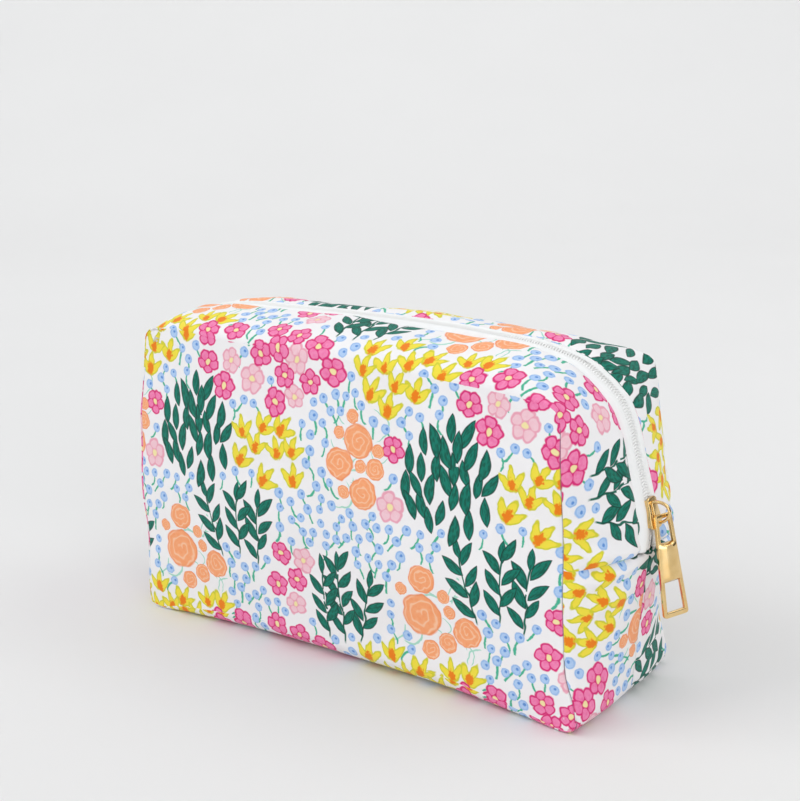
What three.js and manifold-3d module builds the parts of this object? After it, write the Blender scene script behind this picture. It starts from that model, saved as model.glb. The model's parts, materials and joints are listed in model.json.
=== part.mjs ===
// A boxy zip-up makeup bag, in millimetres, +Z up. The origin is the centre of the base, on the floor.
// +X points to the end where the zipper's slider rests, -Y is the front.
//
// Three nested layers of cloth (outer, interlining, lining) make the wall. Each layer is a front and a back
// panel, and each panel is split at the level of the end seams, where the cloth bends when the mouth opens.
// All layers, tapes and coils are cut from one envelope, drawn at different insets from the outer surface.

import * as THREE from "three";
import { mergeVertices } from "three/addons/utils/BufferGeometryUtils.js";
import Module from "manifold-3d";

// ---------------------------------------------------------------- driving dimensions

const DEPTH = 84; // front face to back face
const HEIGHT = 148; // floor to the zipper on top
const FACE_HEIGHT = 131; // floor to the top of the front and back faces
const FACE_LIFT = 4; // the base curves up this much at the front and back edges
const END_SEAM_Z = 67; // level of the seam across each end, and of the mouth's hinge lines

// Half lengths: on a face, at the corner seams, and on the centre line, where the ends swell out.
const FOOT = { face: 115, centre: 121, radius: 9 };
const HIP = { face: 108, centre: 127.5, z: 72, radius: 11 };
const SHOULDER = { face: 105, centre: 106, radius: 17 };

const LAYERS = {
  outer: { from: 0, to: 0.8, mouth: 6 },
  interlining: { from: 1.1, to: 2.6, mouth: 14.5 },
  lining: { from: 2.9, to: 3.5, mouth: 6 },
};
const SEAM_GAP = 0.3; // clearance between neighbouring pieces

const TAPE = { from: 1.5, to: 2.2, inner: 3.3, outer: 14 }; // insets, and distances from the centre line
const COIL = { from: -0.4, to: 1.9, inner: 0.15, outer: 3 };
const COIL_END = 3; // the coil stops this far from the end seam
const COIL_CLEARANCE = 2; // and this far above the slider

const SLIDER = { length: 13, wide: 9.4, narrow: 7.6, plate: 1, round: 1.5 };
const SLIDER_START = 11; // the slider rests this far up the straight run of the zipper
const SLIDER_WAIST = 2.6; // the slider is at its narrow width from this far above its middle
const SLIDER_TOP = 0.9; // underside of the slider's top plate, above the outer surface
const SLIDER_BOTTOM = -3.6; // upper side of the slider's bottom plate
const POST = { radius: 1.3, fromEnd: 2.4 }; // joins the two plates, near the lower end
const BAIL = { length: 10, height: 7.1, wire: 1.2, width: 1.8 };
const CROSSBAR = { up: -1.6, out: 2.8 }; // the pull's pivot, from the middle of the bail's feet
const PULL = { length: 42, top: 8, bottom: 12, thick: 1.7, side: 1.6, topRim: 1.6, lowRim: 2.2 };
const PULL_UPPER_WINDOW = 10.5;
const PULL_MIDDLE = 15;
const PULL_LEAN = THREE.MathUtils.degToRad(11); // the pull hangs this far out from straight down
const PULL_TWIST = THREE.MathUtils.degToRad(-28); // and is turned this far on its bail, towards the front

// ---------------------------------------------------------------- materials

const cloth = (color) => new THREE.MeshStandardMaterial({ color, roughness: 0.9, metalness: 0 });
const MATERIALS = {
  outer: cloth("#f4eeee"),
  interlining: cloth("#ebe8df"),
  lining: cloth("#f1efe9"),
  tape: cloth("#f3f2ef"),
  coil: new THREE.MeshStandardMaterial({ color: "#f1f0ed", roughness: 0.45, metalness: 0 }),
  gold: new THREE.MeshStandardMaterial({ color: "#d9b25f", roughness: 0.25, metalness: 1 }),
};

// ---------------------------------------------------------------- solids

const ROUND_STEPS = 12; // straight steps round the post and over the bail's arch
const HANDLE_SHARE = 4 / 3; // a curve with both handles this many times its height peaks at its height

const wasm = await Module();
wasm.setup();

function toSolid(geometry) {
  const bare = geometry.clone();
  bare.deleteAttribute("normal");
  bare.deleteAttribute("uv");
  const merged = mergeVertices(bare);
  const mesh = new wasm.Mesh({
    numProp: 3,
    vertProperties: new Float32Array(merged.attributes.position.array),
    triVerts: new Uint32Array(merged.index.array),
  });
  return new wasm.Manifold(mesh);
}

function toGeometry(solid) {
  const mesh = solid.getMesh();
  const geometry = new THREE.BufferGeometry();
  geometry.setAttribute("position", new THREE.BufferAttribute(mesh.vertProperties, 3));
  geometry.setIndex(new THREE.BufferAttribute(mesh.triVerts, 1));
  geometry.computeVertexNormals();
  return geometry;
}

function block(low, high) {
  const size = high.map((value, axis) => value - low[axis]);
  const centre = high.map((value, axis) => (value + low[axis]) / 2);
  return toSolid(new THREE.BoxGeometry(...size).translate(...centre));
}

// ---------------------------------------------------------------- the envelope

const CORNER_STEPS = 6; // straight steps round each corner of an outline
const STATIONS = [0, 0.3, 0.55, 0.75, 0.88, 0.96, 1]; // outlines at these fractions of the half depth
const TOP_SLOPE = 0.4; // share of the top's fall that is an even curve, the rest is a rounded edge
const EDGE_POWER = 8; // the higher, the tighter the top's rounded edge
const END_POWER = 1.7; // the higher, the squarer the ends are in plan
const BASE_POWER = 10; // the higher, the tighter the base's rounded edge
const REACH = 400; // larger than the bag, for the cutting blocks

const mix = (a, b, share) => a + (b - a) * share;

// How far a point of the outline has gone from the centre line's shape (0) to the face's shape (1).
const topFall = (t) => mix(Math.abs(t) ** EDGE_POWER, t ** 2, TOP_SLOPE);
const endFall = (t) => Math.abs(t) ** END_POWER;
const baseLift = (t) => FACE_LIFT * Math.abs(t) ** BASE_POWER;

function roundedOutline(corners) {
  const points = [];
  corners.forEach((corner, i) => {
    const before = corners.at(i - 1).point;
    const after = corners[(i + 1) % corners.length].point;
    const start = before.clone().sub(corner.point).setLength(corner.radius).add(corner.point);
    const end = after.clone().sub(corner.point).setLength(corner.radius).add(corner.point);
    points.push(...new THREE.QuadraticBezierCurve(start, corner.point, end).getPoints(CORNER_STEPS));
  });
  return points;
}

// The bag's outline in the XZ plane at a fraction t of the half depth, counter-clockwise from the right foot.
function outlineAt(t, inset) {
  const corner = (part, side, z) => ({
    point: new THREE.Vector2(side * (mix(part.centre, part.face, endFall(t)) - inset), z),
    radius: part.radius - inset,
  });
  const top = mix(HEIGHT, FACE_HEIGHT, topFall(t)) - inset;
  const base = baseLift(t) + inset;
  return roundedOutline([
    corner(FOOT, 1, base),
    corner(HIP, 1, HIP.z),
    corner(SHOULDER, 1, top),
    corner(SHOULDER, -1, top),
    corner(HIP, -1, HIP.z),
    corner(FOOT, -1, base),
  ]);
}

function envelope(inset) {
  const halfDepth = DEPTH / 2 - inset;
  const fractions = [...STATIONS.slice(1).reverse().map((t) => -t), ...STATIONS];
  const rings = fractions.map((t) => outlineAt(t, inset));
  const count = rings[0].length;
  const positions = [];
  rings.forEach((ring, row) => {
    ring.forEach((p) => positions.push(p.x, fractions[row] * halfDepth, p.y));
  });
  const index = [];
  for (let row = 0; row < rings.length - 1; row++) {
    for (let i = 0; i < count; i++) {
      const a = row * count + i;
      const b = row * count + ((i + 1) % count);
      index.push(a, a + count, b, b, a + count, b + count);
    }
  }
  const last = (rings.length - 1) * count;
  for (const [a, b, c] of THREE.ShapeUtils.triangulateShape(rings[0], [])) index.push(a, b, c);
  for (const [a, b, c] of THREE.ShapeUtils.triangulateShape(rings.at(-1), [])) {
    index.push(last + a, last + c, last + b);
  }
  const geometry = new THREE.BufferGeometry();
  geometry.setAttribute("position", new THREE.Float32BufferAttribute(positions, 3));
  geometry.setIndex(index);
  return toSolid(geometry);
}

const skin = (from, to) => envelope(from).subtract(envelope(to));

// ---------------------------------------------------------------- pieces

const bag = new THREE.Group();

function addMesh(parent, name, geometry, material) {
  const mesh = new THREE.Mesh(geometry, material);
  mesh.name = name;
  parent.add(mesh);
  return mesh;
}

// side is -1 for the front and 1 for the back. The front base reaches just past the centre line, so that
// the middle of the base is on cloth, and the back base starts a seam gap behind it.
function sideBlock(side, nearest, lowZ, highZ) {
  const near = side * nearest;
  const far = side * REACH;
  return block([-REACH, Math.min(near, far), lowZ], [REACH, Math.max(near, far), highZ]);
}

function addPanels(layerName, layer) {
  const whole = skin(layer.from, layer.to);
  for (const [sideName, side] of [["front", -1], ["back", 1]]) {
    const nearest = side < 0 ? -SEAM_GAP / 2 : SEAM_GAP * 1.5;
    const lower = whole.intersect(sideBlock(side, nearest, -REACH, END_SEAM_Z - SEAM_GAP / 2));
    const upper = whole.intersect(sideBlock(side, layer.mouth, END_SEAM_Z + SEAM_GAP / 2, REACH));
    addMesh(bag, `${layerName}_${sideName}_lower`, toGeometry(lower), MATERIALS[layerName]);
    addMesh(bag, `${layerName}_${sideName}_upper`, toGeometry(upper), MATERIALS[layerName]);
  }
}

// The straight run of the zipper on the right end, from the hip up to the shoulder.
function endRun() {
  const hip = new THREE.Vector3(HIP.centre, 0, HIP.z);
  const shoulder = new THREE.Vector3(SHOULDER.centre, 0, HEIGHT);
  return { hip, up: shoulder.clone().sub(hip).normalize() };
}

// The tapes and coils run over the top and down both ends, to the end seams. At the right end the coils stop
// above the slider.
function addZipper() {
  const { hip, up } = endRun();
  const sliderTop = hip.clone().addScaledVector(up, SLIDER_START + SLIDER.length / 2);
  const sliderRoom = block([0, -REACH, -REACH], [REACH, REACH, sliderTop.z + COIL_CLEARANCE]);
  const tape = skin(TAPE.from, TAPE.to);
  const coil = skin(COIL.from, COIL.to);
  for (const [sideName, side] of [["front", -1], ["back", 1]]) {
    const strip = (part, low) => {
      const edges = [side * part.inner, side * part.outer].sort((a, b) => a - b);
      return block([-REACH, edges[0], low], [REACH, edges[1], REACH]);
    };
    const tapePiece = tape.intersect(strip(TAPE, END_SEAM_Z + SEAM_GAP));
    addMesh(bag, `zipper_tape_${sideName}`, toGeometry(tapePiece), MATERIALS.tape);
    const coilPiece = coil.intersect(strip(COIL, END_SEAM_Z + COIL_END)).subtract(sliderRoom);
    addMesh(bag, `zipper_coil_${sideName}`, toGeometry(coilPiece), MATERIALS.coil);
  }
}

// The slider's plan: wide at the lower end, where the two tapes enter, and narrow at the upper end.
function sliderPlan() {
  const half = SLIDER.length / 2;
  const wide = SLIDER.wide / 2;
  const narrow = SLIDER.narrow / 2;
  const { round } = SLIDER;
  const plan = new THREE.Shape();
  plan.moveTo(-half, -wide + round);
  plan.quadraticCurveTo(-half, -wide, -half + round, -wide);
  plan.quadraticCurveTo(0, -wide, SLIDER_WAIST, -narrow);
  plan.lineTo(half - round, -narrow);
  plan.quadraticCurveTo(half, -narrow, half, -narrow + round);
  plan.lineTo(half, narrow - round);
  plan.quadraticCurveTo(half, narrow, half - round, narrow);
  plan.lineTo(SLIDER_WAIST, narrow);
  plan.quadraticCurveTo(0, wide, -half + round, wide);
  plan.quadraticCurveTo(-half, wide, -half, wide - round);
  plan.closePath();
  return plan;
}

// In the slider's own frame X runs up the zipper, Y points to the front and Z points out of the bag.
function sliderBodyGeometry() {
  const plate = { depth: SLIDER.plate, bevelEnabled: false, curveSegments: 5 };
  const top = toSolid(new THREE.ExtrudeGeometry(sliderPlan(), plate).translate(0, 0, SLIDER_TOP));
  const bottomZ = SLIDER_BOTTOM - SLIDER.plate;
  const bottom = toSolid(new THREE.ExtrudeGeometry(sliderPlan(), plate).translate(0, 0, bottomZ));
  const postHeight = SLIDER_TOP - SLIDER_BOTTOM + SLIDER.plate;
  const post = new THREE.CylinderGeometry(POST.radius, POST.radius, postHeight, ROUND_STEPS);
  post.rotateX(Math.PI / 2);
  post.translate(-SLIDER.length / 2 + POST.fromEnd, 0, (SLIDER_TOP + SLIDER_BOTTOM) / 2);
  return toGeometry(top.add(bottom).add(toSolid(post)));
}

function sliderBailGeometry() {
  const half = BAIL.length / 2;
  const innerHalf = half - BAIL.wire;
  const handle = BAIL.height * HANDLE_SHARE;
  const innerHandle = (BAIL.height - BAIL.wire) * HANDLE_SHARE;
  const arch = new THREE.Shape();
  arch.moveTo(-half, 0);
  arch.bezierCurveTo(-half, handle, half, handle, half, 0);
  arch.lineTo(innerHalf, 0);
  arch.bezierCurveTo(innerHalf, innerHandle, -innerHalf, innerHandle, -innerHalf, 0);
  arch.closePath();
  const sweep = { depth: BAIL.width, bevelEnabled: false, curveSegments: ROUND_STEPS };
  const geometry = new THREE.ExtrudeGeometry(arch, sweep);
  geometry.translate(0, 0, -BAIL.width / 2).rotateX(Math.PI / 2);
  return toGeometry(toSolid(geometry.translate(0, 0, SLIDER_TOP + SLIDER.plate + SEAM_GAP)));
}

// The pull in its own frame: it hangs down -Z from its top rim, the crossbar, at the origin. X is its face.
function pullGeometry() {
  const topZ = PULL.topRim / 2;
  const halfWidthAt = (z) => mix(PULL.top, PULL.bottom, (topZ - z) / PULL.length) / 2;
  const window = (highZ, lowZ) => {
    const hole = new THREE.Path();
    hole.moveTo(-halfWidthAt(highZ) + PULL.side, highZ);
    hole.lineTo(-halfWidthAt(lowZ) + PULL.side, lowZ);
    hole.lineTo(halfWidthAt(lowZ) - PULL.side, lowZ);
    hole.lineTo(halfWidthAt(highZ) - PULL.side, highZ);
    hole.closePath();
    return hole;
  };
  const lowZ = topZ - PULL.length;
  const round = PULL.side;
  const face = new THREE.Shape();
  face.moveTo(-halfWidthAt(topZ) + round, topZ);
  face.lineTo(halfWidthAt(topZ) - round, topZ);
  face.quadraticCurveTo(halfWidthAt(topZ), topZ, halfWidthAt(topZ), topZ - round);
  face.lineTo(halfWidthAt(lowZ), lowZ + round);
  face.quadraticCurveTo(halfWidthAt(lowZ), lowZ, halfWidthAt(lowZ) - round, lowZ);
  face.lineTo(-halfWidthAt(lowZ) + round, lowZ);
  face.quadraticCurveTo(-halfWidthAt(lowZ), lowZ, -halfWidthAt(lowZ), lowZ + round);
  face.lineTo(-halfWidthAt(topZ), topZ - round);
  face.quadraticCurveTo(-halfWidthAt(topZ), topZ, -halfWidthAt(topZ) + round, topZ);
  const windowTop = topZ - PULL.topRim;
  const middleTop = windowTop - PULL_UPPER_WINDOW;
  const middleLow = middleTop - PULL_MIDDLE;
  face.holes.push(window(windowTop, middleTop), window(middleLow, lowZ + PULL.lowRim));
  const depth = PULL.thick;
  const geometry = new THREE.ExtrudeGeometry(face, { depth, bevelEnabled: false, curveSegments: 4 });
  geometry.translate(0, 0, -depth / 2).rotateX(Math.PI / 2).rotateZ(Math.PI / 2);
  return toGeometry(toSolid(geometry));
}

function addSlider() {
  const { hip, up } = endRun();
  const slider = new THREE.Group();
  slider.position.copy(hip).addScaledVector(up, SLIDER_START);
  const toFront = new THREE.Vector3(0, -1, 0);
  const out = up.clone().cross(toFront);
  slider.quaternion.setFromRotationMatrix(new THREE.Matrix4().makeBasis(up, toFront, out));
  addMesh(slider, "slider_body", sliderBodyGeometry(), MATERIALS.gold);
  addMesh(slider, "slider_bail", sliderBailGeometry(), MATERIALS.gold);
  bag.add(slider);

  const crossbar = new THREE.Vector3(CROSSBAR.up, 0, SLIDER_TOP + SLIDER.plate + SEAM_GAP + CROSSBAR.out);
  slider.updateMatrixWorld(true);
  crossbar.applyMatrix4(slider.matrixWorld);
  const pull = addMesh(bag, "zipper_pull", pullGeometry(), MATERIALS.gold);
  pull.position.copy(crossbar);
  pull.rotation.set(0, -PULL_LEAN, PULL_TWIST, "YZX");
}

for (const [name, layer] of Object.entries(LAYERS)) addPanels(name, layer);
addZipper();
addSlider();

export default bag;
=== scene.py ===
"""Looks for the boxy makeup bag: printed cotton panels, a coil zipper over the top, a gold slider and pull.

Everything is built in millimetres from the CAD frame's boxes and turned into metres when a mesh is made.
"""

import json
import math

import bmesh
import bpy
import numpy as np
from mathutils import Matrix, Vector, noise


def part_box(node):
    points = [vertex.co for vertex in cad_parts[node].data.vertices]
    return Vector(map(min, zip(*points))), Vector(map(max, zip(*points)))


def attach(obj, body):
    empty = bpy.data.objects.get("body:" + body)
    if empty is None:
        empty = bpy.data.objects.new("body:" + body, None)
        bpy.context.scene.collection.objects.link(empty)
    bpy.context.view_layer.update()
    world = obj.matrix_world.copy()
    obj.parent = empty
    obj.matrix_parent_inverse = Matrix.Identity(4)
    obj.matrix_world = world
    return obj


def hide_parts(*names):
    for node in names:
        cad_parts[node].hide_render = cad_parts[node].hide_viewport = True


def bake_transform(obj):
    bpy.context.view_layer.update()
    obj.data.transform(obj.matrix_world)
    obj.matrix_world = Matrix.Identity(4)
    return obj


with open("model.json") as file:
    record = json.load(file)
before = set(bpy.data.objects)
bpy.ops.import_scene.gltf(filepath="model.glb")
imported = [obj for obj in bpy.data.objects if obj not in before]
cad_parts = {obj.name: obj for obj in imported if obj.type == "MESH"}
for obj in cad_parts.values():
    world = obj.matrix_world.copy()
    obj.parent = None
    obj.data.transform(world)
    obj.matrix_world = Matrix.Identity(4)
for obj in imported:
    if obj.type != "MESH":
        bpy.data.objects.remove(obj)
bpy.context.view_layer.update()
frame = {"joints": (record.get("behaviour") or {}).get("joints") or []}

MM = 0.001
SIDE = {"front": -1, "back": 1}  # which way each half of the bag lies along Y

# ---------------------------------------------------------------- sizes from the frame, in mm


def box_mm(node):
    low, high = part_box(node)
    return np.array(low) / MM, np.array(high) / MM


LOWER_LOW = box_mm("outer_front_lower")[0]
UPPER_LOW, UPPER_HIGH = box_mm("outer_front_upper")
HALF_DEPTH = -LOWER_LOW[1]
SEAM_Z = UPPER_LOW[2] - 0.15
CROWN_Z = UPPER_HIGH[2] + 0.3
MOUTH_Y = 2.6 - UPPER_HIGH[1]  # the turned edge of the cloth beside the zipper
JOINTS = {joint["name"]: joint for joint in frame["joints"]}
SLIDE_AXIS = np.array(JOINTS["slider_travel"]["axis"])
SLIDER_LOW, SLIDER_HIGH = box_mm("slider_body")
SLIDER_OUT = np.cross(SLIDE_AXIS, (0, -1, 0))
SLIDER_SUNK = 1.35  # how far the middle of the CAD slider's box lies below the zipper's line
SLIDER_CENTRE = (SLIDER_LOW + SLIDER_HIGH) / 2 + SLIDER_OUT * SLIDER_SUNK
PULL_PIVOT = np.array(JOINTS["pull_swing"]["pos_m"]) / MM

# ---------------------------------------------------------------- small maths helpers


def curve_through(points, count):
    """A smooth curve through given points, as count + 1 places evenly spaced along it."""
    pts = np.array(points, float)
    legs = np.diff(pts, axis=0)
    lengths = np.linalg.norm(legs, axis=1)[:, None]
    slopes = legs / lengths
    inner = (slopes[:-1] * lengths[1:] + slopes[1:] * lengths[:-1]) / (lengths[:-1] + lengths[1:])
    tangents = np.vstack([slopes[:1], inner, slopes[-1:]])
    t = np.linspace(0, 1, 40, endpoint=False)[:, None]
    fine = []
    for i, length in enumerate(lengths):
        start = pts[i] * (2 * t**3 - 3 * t**2 + 1) + tangents[i] * length * (t**3 - 2 * t**2 + t)
        end = pts[i + 1] * (3 * t**2 - 2 * t**3) + tangents[i + 1] * length * (t**3 - t**2)
        fine.append(start + end)
    return spread_along(np.vstack(fine + [pts[-1:]]), count + 1)


def spread_along(points, count, margin=0.0):
    """Places evenly spaced along a line of (x, z), the first and the last of them margin in from its ends."""
    along = arc_lengths(points)
    wanted = np.linspace(margin, along[-1] - margin, count)
    return np.column_stack([np.interp(wanted, along, points[:, k]) for k in range(2)])


def chain(*stretches):
    """One line through stretches given as (points, count), each of which starts where the last one ends."""
    lines = [curve_through(points, count) for points, count in stretches]
    return np.vstack([line[:-1] for line in lines[:-1]] + lines[-1:])


def smooth_step(low, high, value):
    t = np.clip((value - low) / (high - low), 0, 1)
    return t * t * (3 - 2 * t)


def bump(distance, width):
    return np.exp(-((distance / width) ** 2))


def noise_field(points, scale, seed):
    offset = Vector((seed * 13.7, seed * 7.1, seed * 3.3))
    return np.array([noise.noise(Vector(p) / scale + offset) for p in points])


def arc_lengths(points, axis=0):
    """How far along it each point of a line lies, or of a grid along one of its axes."""
    steps = np.linalg.norm(np.diff(points, axis=axis), axis=-1)
    start = np.zeros_like(np.take(steps, [0], axis=axis))
    return np.concatenate([start, np.cumsum(steps, axis=axis)], axis=axis)


def unit(vectors):
    return vectors / np.linalg.norm(vectors, axis=1)[:, None]


def grid_quads(ids):
    """The quads between the rows and columns of a grid of point numbers."""
    return np.stack([ids[:-1, :-1], ids[:-1, 1:], ids[1:, 1:], ids[1:, :-1]], axis=-1).reshape(-1, 4)


# ---------------------------------------------------------------- the bag's shape

# How many quads the outer cloth has along the bag, up each end's two halves, and across it.
GRID = {"along": 184, "end_upper": 52, "end_lower": 54, "rows": 34, "keel": 5}
END_POWER = 1.7  # how square the ends are in plan

# Each face's side seams from the floor up, as x and z in mm. The right one leans in, the left one stands up.
RIGHT_SEAM_LOWER = [(110.4, 26), (108.8, 47), (107.8, SEAM_Z)]
RIGHT_SEAM_UPPER = [(107.8, SEAM_Z), (107.0, 90), (106.2, 112)]
LEFT_SEAM_LOWER = [(-115.6, 30), (-117.2, 50), (-117.8, SEAM_Z)]
LEFT_SEAM_UPPER = [(-117.8, SEAM_Z), (-117.2, 90), (-115.4, 112)]
# Where the side seams would meet the faces' upper and lower edges if the corners were sharp.
TOP_CORNERS = {"front": ((-112.5, 138), (105.3, 132)), "back": ((-113, 134.5), (105.5, 137))}
BASE_CORNERS = ((-116, 1.5), (115.8, 1.5))
TOP_ROUND = 7.0
BASE_ROUND = 3.0

# The centre line: the zipper's path over the ends and the top, and the keel seam below it.
CENTRE_RIGHT_UPPER = [(104, 132.8), (110.5, 126.3), (114.9, 117), (118.5, 104), (121.8, 92), (123.2, 87)]
CENTRE_RIGHT_UPPER += [(124.6, 81.8), (125.5, 76), (125.5, 71), (125, SEAM_Z)]
CENTRE_TOP = [(-115, 136.5), (-106, 142.6), (-90, 145.4), (-55, 147.0), (0, CROWN_Z)]
CENTRE_TOP += [(45, 147), (80, 143.6), (94, 139.4), (104, 132.8)]
CENTRE_LEFT_UPPER = [(-115, 136.5), (-120, 128), (-122.8, 113), (-124.6, 96), (-126.2, 82), (-125.8, SEAM_Z)]
BASE_HALF = 114  # half the length of the flat part of the keel seam
BASE_END_Z = 0.8  # its height at both ends
CENTRE_RIGHT_LOWER = [(125, SEAM_Z), (123.4, 50), (121.6, 30), (120.6, 14), (119, 5), (BASE_HALF, BASE_END_Z)]
CENTRE_LEFT_LOWER = [(-125.8, SEAM_Z), (-124.4, 50), (-122, 30), (-120.6, 14), (-119, 5)]
CENTRE_LEFT_LOWER += [(-BASE_HALF, BASE_END_Z)]
BASE_EDGE_LIFT = 10.0  # the base turns up into the faces over this height, halfway along
FACE_TOP = 131.0
# How far each half of an end reaches from its level seam.
END_REACH = {"end_upper": FACE_TOP - SEAM_Z, "end_lower": SEAM_Z}
BAG_LENGTH = 230
EDGE_ROUNDING = 20  # how far the top's outline is rounded off on its way to the zipper


def resolution(coarser):
    """The grid with every count divided by coarser."""
    return {name: max(3, round(count / coarser)) for name, count in GRID.items()}


def arc(corner, radius, inward, first, last):
    """Three points of a rounded corner between two angles in degrees; inward points to its inside."""
    centre = np.array(corner, float) + np.array(inward) * radius
    angles = np.radians(np.linspace(first, last, 3))
    return [tuple(centre + radius * np.array([math.cos(a), math.sin(a)])) for a in angles]


def face_edges(size, side_name):
    """A face's four edges, each as rows of (x, z)."""
    top_left, top_right = TOP_CORNERS[side_name]
    low_left, low_right = BASE_CORNERS
    right_foot = arc(low_right, BASE_ROUND, (-1, 1), -45, 0)
    left_foot = arc(low_left, BASE_ROUND, (1, 1), 225, 180)
    right_head = arc(top_right, TOP_ROUND, (-1, -1), 0, 45)
    left_head = arc(top_left, TOP_ROUND, (1, -1), 180, 135)
    n_low, n_up = size["end_lower"], size["end_upper"]
    right = chain((right_foot + RIGHT_SEAM_LOWER, n_low), (RIGHT_SEAM_UPPER + right_head, n_up))
    left = chain((left_foot + LEFT_SEAM_LOWER, n_low), (LEFT_SEAM_UPPER + left_head, n_up))
    ends_x, ends_z = zip(top_left, top_right)
    crest = [(-60, 1.2), (0, 1.6), (60, 1.2)]
    level = [(x, np.interp(x, ends_x, ends_z) + z) for x, z in crest]
    head = arc(top_left, TOP_ROUND, (1, -1), 135, 90) + level + arc(top_right, TOP_ROUND, (-1, -1), 90, 45)
    top = curve_through(head, size["along"])
    foot = arc(low_left, BASE_ROUND, (1, 1), 225, 270) + [(-96, 4.2)]
    foot += [(x, BASE_EDGE_LIFT * (1 - 0.17 * (x / 60) ** 2)) for x in (-60, 0, 60)]
    foot += [(96, 3.6)] + arc(low_right, BASE_ROUND, (-1, 1), -90, -45)
    bottom = curve_through(foot, size["along"])
    return left, right, top, bottom


def face_patch(size, side_name):
    """The flat of a face, blended from its four edges."""
    left, right, top, bottom = face_edges(size, side_name)
    low_half = np.linspace(0, 0.5, size["end_lower"], endpoint=False)
    v = np.concatenate([low_half, np.linspace(0.5, 1, size["end_upper"] + 1)])[:, None, None]
    u = ((bottom[:, 0] - bottom[0, 0]) / (bottom[-1, 0] - bottom[0, 0]))[None, :, None]
    sides = left[:, None] * (1 - u) + right[:, None] * u
    ends = bottom[None] * (1 - v) + top[None] * v
    corners = (bottom[0] * (1 - u) + bottom[-1] * u) * (1 - v) + (top[0] * (1 - u) + top[-1] * u) * v
    xz = sides + ends - corners
    return np.stack([xz[..., 0], np.full(xz.shape[:2], -HALF_DEPTH), xz[..., 1]], axis=-1)


def row_angles(size):
    """Rows from the face's edge (a quarter turn) to the fabric's edge beside the zipper."""
    return np.linspace(math.pi / 2, math.asin(MOUTH_Y / HALF_DEPTH), size["rows"] + 1)


def rounded_edge(edge, sigma):
    """The edge line with its corner rounded off, by averaging along the line."""
    if sigma < 0.05:
        return edge
    reach = int(3 * sigma) + 1
    kernel = np.exp(-0.5 * (np.arange(-reach, reach + 1) / sigma) ** 2)
    kernel /= kernel.sum()
    before = 2 * edge[0] - edge[reach:0:-1]
    after = 2 * edge[-1] - edge[-2 : -reach - 2 : -1]
    padded = np.vstack([before, edge, after])
    return np.column_stack([np.convolve(padded[:, k], kernel, "valid") for k in range(2)])


def upper_strip(size, side_name):
    """Top and upper ends of the front half: rows from the face's edge to the mouth."""
    left, right, top, _ = face_edges(size, side_name)
    n_end = size["end_upper"]
    edge = np.vstack([left[-n_end - 1 :], top[1:-1], right[-n_end - 1 :][::-1]])
    centre = chain((CENTRE_LEFT_UPPER[::-1], n_end), (CENTRE_TOP, size["along"]), (CENTRE_RIGHT_UPPER, n_end))
    columns = np.arange(len(edge))
    on_end = 1 - smooth_step(0, n_end * 1.25, np.minimum(columns, columns[::-1])) ** 4
    power = 2.0 + (END_POWER - 2.0) * on_end
    spacing = BAG_LENGTH / size["along"]
    rows = []
    for angle in row_angles(size):
        share = (1 - math.sin(angle) ** power) ** (1 / power)
        line = rounded_edge(edge, EDGE_ROUNDING * math.sqrt(max(0, 1 - math.sin(angle))) / spacing)
        line[0], line[-1] = edge[0], edge[-1]
        xz = line + (centre - line) * share[:, None]
        rows.append(np.column_stack([xz[:, 0], np.full(len(xz), -HALF_DEPTH * math.sin(angle)), xz[:, 1]]))
    return np.array(rows)


def lower_strip(size, side_name):
    """Base and lower ends of the front half: rows from the face's edge to the keel seam."""
    left, right, _, bottom = face_edges(size, side_name)
    n_end = size["end_lower"]
    edge = np.vstack([left[: n_end + 1][::-1], bottom[1:-1], right[: n_end + 1]])
    count = size["along"] + 1
    base = np.column_stack([np.linspace(-BASE_HALF, BASE_HALF, count), np.zeros(count)])
    base[0, 1] = base[-1, 1] = BASE_END_Z
    left_centre = curve_through(CENTRE_LEFT_LOWER, n_end)
    centre = np.vstack([left_centre[:-1], base[:-1], curve_through(CENTRE_RIGHT_LOWER[::-1], n_end)])
    columns = np.arange(len(edge))
    on_base = smooth_step(n_end * 0.8, n_end * 1.1, np.minimum(columns, columns[::-1]))
    flat_from = HALF_DEPTH - 1.6 * np.maximum(edge[:, 1], 1)
    to_keel = np.linspace(math.asin(MOUTH_Y / HALF_DEPTH), 0, size["keel"] + 1)[1:]
    angles = np.concatenate([row_angles(size), to_keel])
    rows = []
    for angle in angles:
        y = HALF_DEPTH * math.sin(angle)
        end_share = (1 - math.sin(angle) ** END_POWER) ** (1 / END_POWER)
        past_flat = np.maximum(0, y - flat_from) / (HALF_DEPTH - flat_from)
        base_share = np.sqrt(np.clip(1 - past_flat**2, 0, 1))
        share = end_share + (base_share - end_share) * on_base
        xz = edge + (centre - edge) * share[:, None]
        rows.append(np.column_stack([xz[:, 0], np.full(len(xz), -y), xz[:, 1]]))
    return np.array(rows)


# ---------------------------------------------------------------- soft shape: puff, seams and creases


FACE_PUFF = 4.2  # how far the middle of a face stands out
END_PUFF = 1.2
SIDE_SEAM_DEPTH = 0.9  # how far the side seams pull the cloth in
LEVEL_SEAM_DEPTH = 1.5
SIDE_SEAM_SHARE = 0.93  # how much of a face's height has a side seam; the rest is its rounded head
# Folds beside the level seam of an end: how far from the seam, how far out or in, and how wide.
END_FOLDS = ((5.5, 1.5, 3.0), (12.0, -1.1, 3.2), (19, 0.8, 4.0), (27, -0.6, 4.4))
WAVES = ((34, 1.7, 0), (13, 0.45, 5))  # the cloth's slow unevenness: length, height and seed step


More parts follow.
